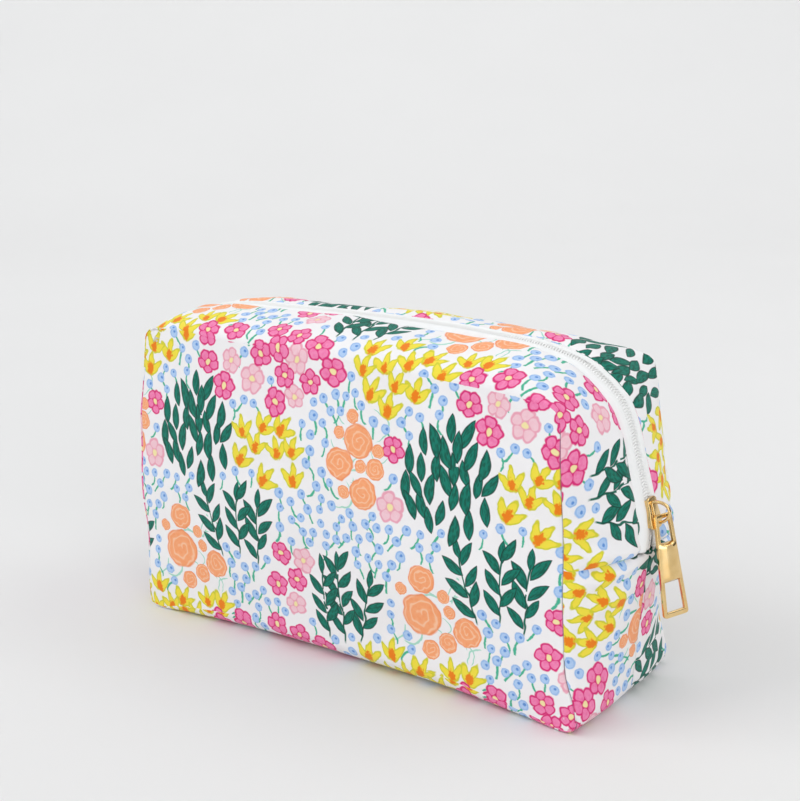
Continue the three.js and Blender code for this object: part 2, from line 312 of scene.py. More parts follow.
def face_softness(points):
    rows, cols = points.shape[:2]
    v = np.linspace(0, 1, rows)[:, None]
    u = np.linspace(0, 1, cols)[None, :]
    puff = FACE_PUFF * np.sin(math.pi * v) ** 1.4 * (1 - np.abs(2 * u - 1) ** 3.5)
    from_side = (1 - np.abs(2 * u - 1)) * 111
    side_seam = -SIDE_SEAM_DEPTH * bump(from_side, 1.0) * (1 - smooth_step(SIDE_SEAM_SHARE, 1, v))
    return puff + side_seam


def face_seam_shade(points):
    """Where the crevice shadow of the seams is painted: 1 on the face's side seams, 0 elsewhere."""
    rows, cols = points.shape[:2]
    on_seam = np.zeros((rows, cols))
    on_seam[: int(rows * SIDE_SEAM_SHARE), [0, -1]] = 1
    return on_seam


def strip_seam_shade(points, size, key):
    """Where the crevice shadow of the seams is painted: 1 where a strip meets a side seam or an end seam, 0
    elsewhere.
    """
    from_seam, _ = end_columns(size, key)
    on_seam = np.zeros(points.shape[:2])
    on_seam[0, from_seam < END_REACH["end_upper"] * 0.9] = 1
    on_seam[1:, [0, -1]] = 0.6
    return on_seam


def end_columns(size, key):
    """How far each column of a strip is from an end's level seam in mm, and which are in its right half."""
    n_end = size[key]
    total = size["along"] + 2 * n_end + 1
    columns = np.arange(total)
    from_end = np.minimum(columns, columns[::-1])
    return from_end * END_REACH[key] / n_end, columns > total / 2


def strip_softness(points, size, key):
    from_seam, right = end_columns(size, key)
    reach = END_REACH[key]
    across = HALF_DEPTH + points[..., 1]
    centre = -points[..., 1]
    on_end = 1 - smooth_step(reach * 0.9, reach * 1.05, from_seam)[None, :]
    side_seam = -SIDE_SEAM_DEPTH * bump(across, 1.0) * on_end
    level_seam = -LEVEL_SEAM_DEPTH * bump(from_seam[None, :], 1.1) * smooth_step(0, 8, across)
    folds = np.zeros(points.shape[:2])
    for height, depth, width in END_FOLDS:
        slope = height * (0.45 + 0.55 * centre / HALF_DEPTH)
        near_corner = smooth_step(1, 9, across) * (1 - 0.4 * smooth_step(20, 38, across))
        folds += depth * bump(from_seam[None, :] - slope, width) * near_corner
    folds *= np.where(right, 1.0, 0.75)[None, :]
    puff = END_PUFF * np.sin(math.pi * np.clip(across / HALF_DEPTH, 0, 1)) * (1 - on_end * 0.3)
    if key == "end_lower":
        return side_seam + level_seam + (folds + puff) * on_end
    edge_roll = 0.5 * bump(centre - MOUTH_Y - 4.5, 2.6) - 0.7 * bump(centre - MOUTH_Y, 2.2)
    return side_seam + level_seam + folds + puff + edge_roll


# ---------------------------------------------------------------- panels: one mesh from three patches


class Panel:
    """A front or back panel as welded points, quads, and flat cloth coordinates for each quad corner."""

    def __init__(self, size, side_name):
        face = face_patch(size, side_name)
        patches = [(face, face_softness(face), face_seam_shade(face), face[..., [0, 2]])]
        for key, make_strip, up in (("end_upper", upper_strip, 1), ("end_lower", lower_strip, -1)):
            strip = make_strip(size, side_name)
            flat = strip_flat(strip, size[key], up)
            patches.append((strip, strip_softness(strip, size, key), strip_seam_shade(strip, size, key), flat))
        grids, quads, start = [], [], 0
        for patch in patches:
            rows, cols = patch[0].shape[:2]
            grids.append(start + np.arange(rows * cols).reshape(rows, cols))
            quads.append(grid_quads(grids[-1]))
            start += rows * cols
        quads[2] = quads[2][:, ::-1]
        points = np.vstack([patch[0].reshape(-1, 3) for patch in patches])
        softness = np.concatenate([patch[1].reshape(-1) for patch in patches])
        seams = np.concatenate([patch[2].reshape(-1) for patch in patches])
        flat = np.vstack([patch[3].reshape(-1, 2) for patch in patches])
        quads = np.vstack(quads)
        _, first, weld = np.unique(np.round(points, 3), axis=0, return_index=True, return_inverse=True)
        weld = weld.reshape(-1)
        self.points = points[first]
        self.softness = np.bincount(weld, softness) / np.bincount(weld)
        # The seams values say where the crevice shadow along the seams is painted into the cloth's colour.
        self.seams = np.zeros(len(first))
        np.maximum.at(self.seams, weld, seams)
        self.flat = flat[quads]
        self.quads = weld[quads]
        self.upper_ids = weld[grids[1]]

    def turn_hem(self, radius, depth):
        """Adds the cloth's turned edge beside the zipper: it curls under itself and runs back a little."""
        edge_ids = self.upper_ids[-1]
        normals = vertex_normals(self.points, self.quads)[edge_ids]
        edge = self.points[edge_ids]
        outward = unit(edge - self.points[self.upper_ids[-2]])
        curl = np.radians([35, 70, 105, 140, 180])
        steps = [(radius * math.sin(a), radius * (1 - math.cos(a))) for a in curl]
        steps += [(-depth * 0.5, 2 * radius), (-depth, 2 * radius + 0.2)]
        last_ids, quads, flats = edge_ids, [self.quads], [self.flat]
        last_flat = np.zeros((len(edge_ids), 2))
        last_flat[:, 0] = edge[:, 0]
        last_flat[:, 1] = self.flat[..., 1].max() - 1
        for out, down in steps:
            ring = edge + outward * out - normals * down
            ids = len(self.points) + np.arange(len(edge_ids))
            self.points = np.vstack([self.points, ring])
            self.seams = np.concatenate([self.seams, np.zeros(len(ids))])
            new_flat = last_flat + (0, 1.0)
            quads.append(grid_quads(np.stack([last_ids, ids])))
            flats.append(np.stack([last_flat[:-1], last_flat[1:], new_flat[1:], new_flat[:-1]], axis=1))
            last_ids, last_flat = ids, new_flat
        self.quads = np.vstack(quads)
        self.flat = np.vstack(flats)


def strip_flat(points, n_end, up):
    """A strip's flat cloth coordinates: its columns laid out along X, its rows up or down from the face."""
    edge = points[0]
    along = arc_lengths(edge)
    last = len(edge) - 1 - n_end
    x = edge[:, 0].copy()
    x[last:] = edge[last, 0] + along[last:] - along[last]
    x[: n_end + 1] = edge[n_end, 0] - (along[n_end] - along[: n_end + 1])
    across = arc_lengths(points)
    start = edge[len(edge) // 2, 2]
    return np.stack([np.broadcast_to(x, across.shape), start + up * across], axis=-1)


def vertex_normals(points, quads):
    a, b, c, d = (points[quads[:, k]] for k in range(4))
    face = np.cross(c - a, d - b)
    normals = np.zeros_like(points)
    for k in range(4):
        np.add.at(normals, quads[:, k], face)
    return normals / np.maximum(np.linalg.norm(normals, axis=1), 1e-9)[:, None]


def soften(panel, seed):
    """Moves the panel's points along their normals by the puff, seams, creases and a slow waviness."""
    normals = vertex_normals(panel.points, panel.quads)
    keel = smooth_step(0.0, 2.0, -panel.points[:, 1])
    lifted = smooth_step(1.5, 14, panel.points[:, 2])
    slow = sum(noise_field(panel.points, scale, seed + step) * height for scale, height, step in WAVES)
    amount = panel.softness + slow * lifted * smooth_step(0, 12, -panel.points[:, 1] - MOUTH_Y + 6)
    moved = panel.points + normals * (amount * keel)[:, None]
    moved[:, 2] = np.maximum(moved[:, 2], 0.0)
    panel.points = moved


# ---------------------------------------------------------------- the print: where each motif goes

TILE = 137.0  # the print repeats after this many mm both ways
LEAF_ROOM = 2.4  # how far other motifs keep clear of a leaf's two halves
HOT, PALE, ROSE, TULIP, LEAF, BERRY, STALK, STEM, CURL = range(1, 10)

# Clusters in one tile: what grows there, centre x and z, half width and half height in mm.
CLUSTERS = [
    ("uprights", 57, 95, 22, 22),
    ("branches", 82, 52, 22, 16),
    ("branches", 3, 27, 18, 18),
    ("roses", 12, 97, 12, 18),
    ("roses", 51, 36, 19, 18),
    ("pinks", 97, 131, 38, 17),
    ("pinks", 114, 38, 18, 15),
    ("pinks", 27, 92, 7, 17),
    ("tulips", 101, 91, 20, 15),
    ("tulips", 27, 135, 16, 17),
    ("tulips", 62, 5, 28, 9),
]


def wrapped(a, b):
    d = np.abs(np.asarray(a) - np.asarray(b))
    return np.minimum(d, TILE - d)


class PrintTile:
    """One tile of the print as it grows: the spots already taken, as x, z and radius, and its motifs."""

    def __init__(self, seed):
        self.random = np.random.RandomState(seed)
        self.spots = []
        self.motifs = []

    def grown(self):
        """All motifs of the tile: x, z, size in mm, turn, kind and a random share."""
        growers = {"uprights": self.uprights, "branches": self.branches, "roses": self.roses}
        growers.update({"pinks": self.pinks, "tulips": self.tulips})
        for kind, *oval in CLUSTERS:
            growers[kind](*oval)
        self.berries()
        return np.array(self.motifs)

    def add(self, x, z, size, turn, kind):
        self.motifs.append((x, z, size, turn, kind, self.random.uniform(0, 1)))

    def add_leaf(self, x, z, length, angle):
        """A leaf with its middle at x, z, pointing angle radians clockwise from straight up."""
        self.add(x, z, length, -angle, LEAF)
        for reach in (-0.5 * length, 0.5 * length):
            spot = (x + math.sin(angle) * reach) % TILE, (z + math.cos(angle) * reach) % TILE
            self.spots.append((*spot, LEAF_ROOM))

    def in_oval(self, rx, rz):
        angle = self.random.uniform(0, 2 * math.pi)
        reach = math.sqrt(self.random.uniform(0, 1))
        return rx * reach * math.cos(angle), rz * reach * math.sin(angle)

    def is_free(self, x, z, radius):
        if not self.spots:
            return True
        held = np.array(self.spots)
        gap = np.hypot(wrapped(held[:, 0], x), wrapped(held[:, 1], z))
        return bool(np.all(gap > held[:, 2] + radius))

    def scatter(self, cx, cz, rx, rz, radius, tries, jitter):
        """Spots inside an oval that keep clear of each other and of what is there already."""
        placed = []
        for _ in range(tries):
            dx, dz = self.in_oval(rx, rz)
            spot = (cx + dx) % TILE, (cz + dz) % TILE, radius * (1 + jitter * self.random.uniform(-1, 1))
            if self.is_free(*spot):
                self.spots.append(spot)
                placed.append(spot)
        return placed

    def uprights(self, cx, cz, rx, rz):
        """Slender leaves standing close together, fanning out a little from the middle."""
        placed = []
        for _ in range(2500):
            x, z = self.in_oval(rx, rz)
            if all(math.hypot((x - px) / 4.5, (z - pz) / 9.2) > 1 for px, pz in placed):
                placed.append((x, z))
                tilt = 0.3 * x / rx + math.radians(self.random.uniform(-24, 24))
                self.add_leaf(cx + x, cz + z, self.random.uniform(5.8, 7.4), tilt)

    def branches(self, cx, cz, rx, rz):
        """Stems that lean apart, with pairs of leaves up each of them and one at the tip."""
        stems = max(2, round(2 * rx / 13))
        for i in range(stems):
            share = (i + 0.5) / stems * 2 - 1
            lean = share * 0.28 + math.radians(self.random.uniform(-8, 8))
            tall = 2 * rz * self.random.uniform(0.82, 1.0)
            foot_x = cx + rx * share * 0.72
            foot_z = cz - tall / 2 + self.random.uniform(-2, 2)
            along = self.random.uniform(2, 4)
            while along < tall - 4:
                for side in (-1, 1):
                    angle = lean + side * math.radians(self.random.uniform(30, 46))
                    length = self.random.uniform(5.4, 6.7)
                    x = foot_x + math.sin(lean) * along + math.sin(angle) * length
                    z = foot_z + math.cos(lean) * along + math.cos(angle) * length
                    self.add_leaf(x, z, length, angle)
                    along += self.random.uniform(3.9, 4.9)
            tip = tall + 3
            self.add_leaf(foot_x + math.sin(lean) * tip, foot_z + math.cos(lean) * tip, 4.8, lean)
            middle = tall / 2
            x, z = foot_x + math.sin(lean) * middle, foot_z + math.cos(lean) * middle
            self.motifs.append((x, z, middle, math.pi / 2 - lean, STEM, 0.5))

    def pinks(self, *oval):
        for x, z, radius in self.scatter(*oval, 5.5, 1500, 0.1):
            kind = HOT if noise.noise(Vector((x / 19, z / 15, 3.1))) > 0.0 else PALE
            self.add(x, z, radius * 1.24, self.random.uniform(0, 6.28), kind)

    def roses(self, cx, cz, rx, rz):
        """One or two big roses, smaller ones and buds round them, and loose curls."""
        biggest = 9.0 if rx > 15 else 7.4
        for radius, tries in ((biggest, 4), (6.6, 60), (4.4, 160), (2.9, 200)):
            for x, z, own in self.scatter(cx, cz, rx, rz, radius, tries, 0.06):
                self.add(x, z, own * 1.05, self.random.uniform(0, 6.28), ROSE)
        for _ in range(14):
            x, z = cx + self.random.uniform(-rx, rx), cz + self.random.uniform(-rz, rz)
            self.add(x, z, self.random.uniform(4, 7), self.random.uniform(0, 6.28), CURL)

    def tulips(self, *oval):
        for x, z, radius in self.scatter(*oval, 4.9, 900, 0.08):
            self.add(x, z, radius * 1.28, self.random.uniform(-0.75, 0.3), TULIP)

    def berries(self):
        """Berries wherever there is still room, most of them with a stalk."""
        self.spots = [(x, z, radius + 0.8) for x, z, radius in self.spots]
        everywhere = (TILE / 2, TILE / 2, TILE * 0.72, TILE * 0.72)
        for x, z, radius in self.scatter(*everywhere, 2.75, 12000, 0.14):
            self.add(x, z, radius * 0.88, self.random.uniform(-0.6, 0.6), BERRY)
            if self.random.uniform(0, 1) < 0.8:
                angle = self.random.uniform(0.8, 2.3)
                reach = self.random.uniform(2.6, 3.6)
                x, z = x - math.cos(angle) * (reach + 1.2), z - math.sin(angle) * (reach + 1.2)
                self.add(x, z, reach, angle, STALK)


# Which motif lies on top where two meet: the lowest number.
LAYER_ORDER = {ROSE: 0, HOT: 1, PALE: 2, TULIP: 3, BERRY: 4, LEAF: 5, STALK: 6, STEM: 7, CURL: 8}
# How far each motif reaches from its middle both ways, as shares of its size.
HALF_SHAPE = {HOT: (1.2, 1.2), PALE: (1.2, 1.2), ROSE: (1, 1), TULIP: (1.05, 1.15), LEAF: (0.5, 1.1)}
HALF_SHAPE.update({BERRY: (1, 1), STALK: (1.05, 0.4), STEM: (1.0, 0.1), CURL: (1.05, 1.0)})
SLOTS = 4  # how many motifs can overlap at one place


def tile_copies(tile, shift, low, high):
    """The tile's motifs repeated over a flat area from low to high, the top ones first."""
    first = [math.floor((low[k] - shift[k]) / TILE) - 1 for k in range(2)]
    last = [math.ceil((high[k] - shift[k]) / TILE) + 1 for k in range(2)]
    copies = []
    for i in range(first[0], last[0]):
        for j in range(first[1], last[1]):
            copy = tile.copy()
            copy[:, 0] += i * TILE + shift[0]
            copy[:, 1] += j * TILE + shift[1]
            copies.append(copy)
    motifs = np.vstack(copies)
    motifs = motifs[np.all((motifs[:, :2] > low - 12) & (motifs[:, :2] < high + 12), axis=1)]
    return motifs[np.argsort([LAYER_ORDER[int(kind)] for kind in motifs[:, 4]], kind="stable")]


def own_place(offset, turn, size):
    """Offsets from a motif's middle, in the motif's own turned and scaled coordinates."""
    cos, sin = np.cos(turn), np.sin(turn)
    x = (offset[..., 0] * cos + offset[..., 1] * sin) / size
    return x, (-offset[..., 0] * sin + offset[..., 1] * cos) / size


def print_slots(flat, tile, shift):
    """For each quad, the motifs that touch it, top one first: their coordinates and kind at each corner."""
    centre = flat.mean(axis=1)
    motifs = tile_copies(tile, shift, centre.min(0), centre.max(0))
    count = np.zeros(len(centre), int)
    chosen = np.full((len(centre), SLOTS), -1)
    order = np.argsort(centre[:, 0])
    sorted_x = centre[order, 0]
    for index, (x, z, size, turn, kind, _) in enumerate(motifs):
        reach = size * 1.2 + 1.2
        near = order[np.searchsorted(sorted_x, x - reach) : np.searchsorted(sorted_x, x + reach)]
        own_x, own_y = own_place(centre[near] - (x, z), turn, size)
        margin = 1.0 / size
        half = HALF_SHAPE[int(kind)]
        hit = near[(np.abs(own_x) < half[0] + margin) & (np.abs(own_y) < half[1] + margin)]
        hit = hit[count[hit] < SLOTS]
        chosen[hit, count[hit]] = index
        count[hit] += 1
    result = np.zeros((SLOTS, len(centre), 4, 3), np.float32)
    result[..., :2] = 9
    for slot in range(SLOTS):
        used = np.nonzero(chosen[:, slot] >= 0)[0]
        m = motifs[chosen[used, slot]][:, None, :]
        own_x, own_y = own_place(flat[used] - m[..., :2], m[..., 3], m[..., 2])
        code = m[..., 4] + 0.02 + 0.96 * m[..., 5]
        result[slot, used] = np.stack([own_x, own_y, np.broadcast_to(code, own_x.shape)], axis=-1)
    return result


# ---------------------------------------------------------------- making meshes


def linked(name, data):
    """A new object in the scene."""
    piece = bpy.data.objects.new(name, data)
    bpy.context.scene.collection.objects.link(piece)
    return piece


def mesh_object(name, points, faces):
    """A smooth-shaded object in metres, from points in mm and lists of point numbers."""
    mesh = bpy.data.meshes.new(name)
    mesh.from_pydata((np.asarray(points) * MM).tolist(), [], faces)
    mesh.polygons.foreach_set("use_smooth", [True] * len(mesh.polygons))
    mesh.update()
    return linked(name, mesh)


def evaluated_mesh(piece):
    """The mesh that an object's modifiers or curve settings make."""
    bpy.context.view_layer.update()
    graph = bpy.context.evaluated_depsgraph_get()
    return bpy.data.meshes.new_from_object(piece.evaluated_get(graph))


def corner_attribute(mesh, name, values):
    data = mesh.attributes.new(name, "FLOAT_VECTOR", "CORNER")
    data.data.foreach_set("vector", np.asarray(values, np.float32).reshape(-1))


def thicken(piece, thickness):
    """Gives a surface its thickness, inwards from where it is."""
    wall = piece.modifiers.new("wall", "SOLIDIFY")
    wall.thickness = thickness * MM
    wall.offset = -1.0
    mesh = evaluated_mesh(piece)
    old = piece.data
    piece.modifiers.clear()
    piece.data = mesh
    bpy.data.meshes.remove(old)


def mirrored(points):
    return points * np.array([1.0, -1.0, 1.0])


# ---------------------------------------------------------------- node helpers


class Nodes:
    """Shorthand for building a node tree: every method adds a node and returns its output socket."""

    def __init__(self, tree):
        self.tree = tree
        self.count = 0

    def add(self, kind, **settings):
        node = self.tree.nodes.new(kind)
        node.location = (180 * (self.count % 14), -180 * (self.count // 14))
        self.count += 1
        for name, value in settings.items():
            setattr(node, name, value)
        return node

    def feed(self, node, key, value):
        if isinstance(value, bpy.types.NodeSocket):
            self.tree.links.new(value, node.inputs[key])
        elif value is not None:
            node.inputs[key].default_value = value

    def feed_all(self, node, values):
        for key, value in values.items():
            self.feed(node, key, value)

    def math(self, operation, a, b=None, c=None, clamp=False):
        node = self.add("ShaderNodeMath", operation=operation, use_clamp=clamp)
        for key, value in enumerate((a, b, c)):
            self.feed(node, key, value)
        return node.outputs[0]

    def plus(self, a, b):
        return self.math("ADD", a, b)

    def minus(self, a, b):
        return self.math("SUBTRACT", a, b)

    def times(self, a, b):
        return self.math("MULTIPLY", a, b)

    def length(self, a, b):
        return self.math("SQRT", self.plus(self.times(a, a), self.times(b, b)))

    def below(self, value, edge, soft):
        """1 where value is under edge, 0 over it, with a soft change between."""
        return self.math("MULTIPLY_ADD", value, -1 / soft, edge / soft + 0.5, clamp=True)

    def above(self, value, edge, soft):
        return self.math("MULTIPLY_ADD", value, 1 / soft, -edge / soft + 0.5, clamp=True)

    def mix(self, share, a, b, blend="MIX"):
        node = self.add("ShaderNodeMix", data_type="RGBA", blend_type=blend)
        self.feed(node, 0, share)
        self.feed(node, 6, a)
        self.feed(node, 7, b)
        return node.outputs[2]

    def split(self, vector):
        node = self.add("ShaderNodeSeparateXYZ")
        self.feed(node, 0, vector)
        return node.outputs

    def join(self, x, y, z=0.0):
        node = self.add("ShaderNodeCombineXYZ")
        for key, value in enumerate((x, y, z)):
            self.feed(node, key, value)
        return node.outputs[0]

    def noise(self, vector, scale, detail=2.0, rough=0.5):
        node = self.add("ShaderNodeTexNoise")
        self.feed_all(node, {"Vector": vector, "Scale": scale, "Detail": detail, "Roughness": rough})
        return node

    def attribute(self, name):
        return self.add("ShaderNodeAttribute", attribute_name=name)


def rgb(text):
    """A colour written as six hex digits, as it looks on screen, in the linear values that nodes take."""
    channels = [int(text[i : i + 2], 16) / 255 for i in (0, 2, 4)]
    return tuple([c / 12.92 if c <= 0.04045 else ((c + 0.055) / 1.055) ** 2.4 for c in channels] + [1.0])


INK = {
    "hot": "f68cba",
    "hot_deep": "ee5c9c",
    "hot_line": "df2b79",
    "pale": "f7ced7",
    "pale_deep": "f3bcc9",
    "pale_line": "eea6b9",
    "cream": "f8e7aa",
    "rose": "fb9f68",
    "rose_deep": "fdae7e",
    "rose_light": "ffc9a4",
    "rose_line": "f08250",
    "tulip": "f5e243",
    "tulip_line": "d6d235",
    "tulip_heart": "f2820f",
    "leaf": "047a66",
    "leaf_deep": "025b4b",
    "leaf_line": "023f35",
    "berry": "bad4f5",
    "berry_deep": "a6c8f1",
    "berry_line": "96bbec",
    "berry_dot": "4384d4",
    "stalk": "45b593",
    "stem": "0b6552",
    "curl": "a8dcc9",
}
INK = {name: rgb(text) for name, text in INK.items()}


def motif_group():
    """A node group that draws one motif: local coordinates and kind in, ink colour and cover out."""
    tree = bpy.data.node_groups.new("print_motif", "ShaderNodeTree")
    sockets = (("Place", "INPUT", "Vector"), ("Ink", "OUTPUT", "Color"), ("Cover", "OUTPUT", "Float"))
    for name, way, kind in sockets:
        tree.interface.new_socket(name, in_out=way, socket_type=f"NodeSocket{kind}")
    n = Nodes(tree)
    source = n.add("NodeGroupInput").outputs[0]
    raw_x, raw_y, code = n.split(source)
    kind = n.math("FLOOR", code)
    chance = n.math("FRACT", code)
    spread = n.join(raw_x, raw_y, n.times(code, 7.3))
    wobble = n.noise(spread, 1.7, 1.0)
    wx, wy, wz = n.split(wobble.outputs["Color"])
    x = n.math("MULTIPLY_ADD", n.minus(wx, 0.5), 0.32, raw_x)
    y = n.math("MULTIPLY_ADD", n.minus(wy, 0.5), 0.32, raw_y)
    calm_x = n.math("MULTIPLY_ADD", n.minus(wx, 0.5), 0.08, raw_x)
    calm_y = n.math("MULTIPLY_ADD", n.minus(wy, 0.5), 0.1, raw_y)
    radius = n.length(x, y)
    turn = n.math("ARCTAN2", y, x)
    brush = n.noise(spread, 5.0, 2.0).outputs["Fac"]

    def is_kind(value):
        return n.math("COMPARE", kind, float(value), 0.4)

    def flower(fill, deep, line):
        stretch = n.math("MULTIPLY_ADD", chance, 0.3, 0.86)
        fx = n.math("DIVIDE", x, stretch)
        reach = n.length(fx, y)
        fold = 2 * math.pi / 5
        angle = n.math("WRAP", n.math("ARCTAN2", y, fx), fold / 2, -fold / 2)
        px = n.minus(n.times(reach, n.math("COSINE", angle)), 0.55)
        py = n.times(reach, n.math("SINE", angle))
        petal = n.math("SQRT", n.plus(n.times(px, px), n.times(n.times(py, py), 0.82)))
        inside = n.minus(petal, 0.41)
        shade = n.times(n.below(reach, 0.62, 0.7), n.above(brush, 0.5, 0.35))
        colour = n.mix(n.times(shade, 0.8), INK[fill], INK[deep])
        outline = n.above(inside, -0.13, 0.05)
        between = n.times(n.above(n.math("ABSOLUTE", angle), fold / 2 - 0.09, 0.08), n.above(reach, 0.3, 0.1))
        colour = n.mix(n.math("MAXIMUM", outline, n.times(between, 0.7)), colour, INK[line])
        colour = n.mix(n.below(reach, 0.2, 0.07), colour, INK["cream"])
        return colour, n.math("MAXIMUM", n.below(inside, 0.0, 0.07), n.below(reach, 0.3, 0.07))

    def rose():
        swirl = n.plus(n.times(radius, 2.6), n.plus(n.math("DIVIDE", turn, 2 * math.pi), n.times(wz, 1.6)))
        ring = n.math("ABSOLUTE", n.minus(n.math("FRACT", swirl), 0.5))
        colour = n.mix(n.above(brush, 0.5, 0.5), INK["rose"], INK["rose_deep"])
        colour = n.mix(n.times(n.below(ring, 0.13, 0.14), 0.9), colour, INK["rose_light"])
        inside = n.minus(radius, 0.96)
        colour = n.mix(n.times(n.above(inside, -0.09, 0.06), 0.55), colour, INK["rose_line"])
        return colour, n.below(inside, 0.0, 0.06)

    def tulip():
        nearest = None
        for angle, half_length in ((-0.62, 0.8), (0.04, 0.92), (0.66, 0.84)):
            foot_y = n.plus(y, 0.86)
            px = n.minus(n.times(x, math.cos(angle)), n.times(foot_y, math.sin(angle)))
            py = n.minus(n.plus(n.times(x, math.sin(angle)), n.times(foot_y, math.cos(angle))), half_length)
            px = n.math("DIVIDE", px, 0.31)
            py = n.math("DIVIDE", py, half_length)
            taper = n.math("MULTIPLY_ADD", py, 0.25, 1.0)
            px = n.times(px, taper)
            petal = n.minus(n.length(px, py), 1.0)
            nearest = petal if nearest is None else n.math("MINIMUM", nearest, petal)
        colour = n.mix(n.above(nearest, -0.3, 0.14), INK["tulip"], INK["tulip_line"])
        hx, hy = n.times(x, 2.9), n.times(n.plus(y, 0.4), 2.0)
        heart = n.length(hx, hy)
        heart = n.plus(heart, n.times(n.minus(brush, 0.5), 1.3))
        colour = n.mix(n.below(heart, 0.85, 0.3), colour, INK["tulip_heart"])
        return colour, n.below(nearest, 0.0, 0.14)

    def leaf():
        bend = n.times(n.times(calm_y, calm_y), n.times(n.minus(chance, 0.5), 0.35))
        tall = n.math("MINIMUM", n.math("ABSOLUTE", calm_y), 1.0)
        width = n.minus(1.0, n.math("POWER", tall, 2.2))
        width = n.times(n.times(width, n.math("MULTIPLY_ADD", calm_y, -0.14, 1.0)), 0.36)
        inside = n.minus(n.math("ABSOLUTE", n.plus(calm_x, bend)), width)
        streaks = n.noise(n.join(n.times(raw_x, 3.0), raw_y, code), 2.4, 1.0).outputs["Fac"]
        colour = n.mix(n.above(streaks, 0.52, 0.2), INK["leaf"], INK["leaf_deep"])
        colour = n.mix(n.above(inside, -0.075, 0.05), colour, INK["leaf_line"])
        return colour, n.times(n.below(inside, 0.0, 0.06), n.below(n.math("ABSOLUTE", calm_y), 1.0, 0.04))

    def berry():
        inside = n.minus(radius, 0.92)
        colour = n.mix(n.times(n.above(brush, 0.45, 0.3), 0.6), INK["berry"], INK["berry_deep"])
        colour = n.mix(n.times(n.above(inside, -0.26, 0.14), 0.8), colour, INK["berry_line"])
        off = n.join(n.minus(x, 0.16), n.minus(y, 0.2))
        dot = n.add("ShaderNodeVectorMath", operation="LENGTH")
        n.feed(dot, 0, off)
        colour = n.mix(n.times(n.below(dot.outputs["Value"], 0.27, 0.2), 0.85), colour, INK["berry_dot"])
        return colour, n.below(inside, 0.0, 0.14)

    def stroke(ink, bend, half_width):
        curve = n.times(n.times(n.minus(1.0, n.times(x, x)), n.minus(chance, 0.5)), bend)
        off = n.math("ABSOLUTE", n.minus(y, curve))
        beside = n.below(off, half_width, half_width * 0.7)
        return INK[ink], n.times(beside, n.below(n.math("ABSOLUTE", raw_x), 1.0, 0.1))

    colour, cover = flower("hot", "hot_deep", "hot_line")
    colour = n.mix(is_kind(HOT), (0, 0, 0, 1), colour)
    cover = n.times(cover, is_kind(HOT))
    others = [
        (PALE, flower("pale", "pale_deep", "pale_line")),
        (ROSE, rose()),
        (TULIP, tulip()),
        (LEAF, leaf()),
        (BERRY, berry()),
        (STALK, stroke("stalk", 0.9, 0.16)),
        (STEM, stroke("stem", 0.0, 0.03)),
        (CURL, stroke("curl", 2.2, 0.075)),
    ]
    for value, (other_colour, other_cover) in others:
        chosen = is_kind(value)
        colour = n.mix(chosen, colour, other_colour)
        cover = n.math("MULTIPLY_ADD", chosen, other_cover, cover)
    out = n.add("NodeGroupOutput")
    n.feed(out, 0, colour)
    n.feed(out, 1, cover)
    return tree


def new_material(name):
    material = bpy.data.materials.new(name)
    material.use_nodes = True
    tree = material.node_tree
    tree.nodes.clear()
    n = Nodes(tree)
    shader = n.add("ShaderNodeBsdfPrincipled")
    out = n.add("ShaderNodeOutputMaterial")
    tree.links.new(shader.outputs[0], out.inputs["Surface"])
    return material, n, shader


def add_relief(n, shader, height, strength, distance):
    """Bump from a height; distance is in metres."""
    relief = n.add("ShaderNodeBump")
    n.feed_all(relief, {"Height": height, "Strength": strength, "Distance": distance})
    n.feed(shader, "Normal", relief.outputs[0])


def weave_height(n, flat, pitch):
    """Over-and-under threads of a plain weave, from flat cloth coordinates in mm."""
    u, v, _ = n.split(flat)
    across = n.math("SINE", n.times(u, 2 * math.pi / pitch))
    along = n.math("SINE", n.times(v, 2 * math.pi / pitch))
    return n.times(across, along)


def printed_canvas():
    material, n, shader = new_material("printed_canvas")
    group = motif_group()
    flat = n.attribute("flat").outputs["Vector"]
    ground_noise = n.noise(flat, 0.05, 3.0).outputs["Fac"]
    colour = n.mix(ground_noise, rgb("f3f0f1"), rgb("f8f6f6"))
    for slot in reversed(range(SLOTS)):
        node = n.add("ShaderNodeGroup", node_tree=group)
        n.feed(node, 0, n.attribute(f"motif_{slot}").outputs["Vector"])
        colour = n.mix(node.outputs["Cover"], colour, node.outputs["Ink"])
    seam = n.attribute("seam").outputs["Fac"]
    # Painted shade: a dark grey line along the seams, standing in for the shadow in their crevices.
    colour = n.mix(n.times(n.above(seam, 0.72, 0.35), 0.72), colour, rgb("5d6068"))
    threads = weave_height(n, flat, 0.62)
    slub = n.noise(flat, 1.4, 2.0).outputs["Fac"]
    # The whole cloth is dimmed slightly, with painted shade in the weave: a little darker where the threads
    # dip under each other.
    darker = n.math("MULTIPLY_ADD", threads, 0.02, 0.965)
    n.feed(shader, "Base Color", n.mix(1.0, colour, n.join(darker, darker, darker), "MULTIPLY"))
    n.feed_all(shader, {"Roughness": 0.82, "Specular IOR Level": 0.3})
    n.feed_all(shader, {"Sheen Weight": 0.08, "Sheen Roughness": 0.5})
    add_relief(n, shader, n.plus(n.times(threads, 0.5), slub), 0.35, 0.00012)
    return material


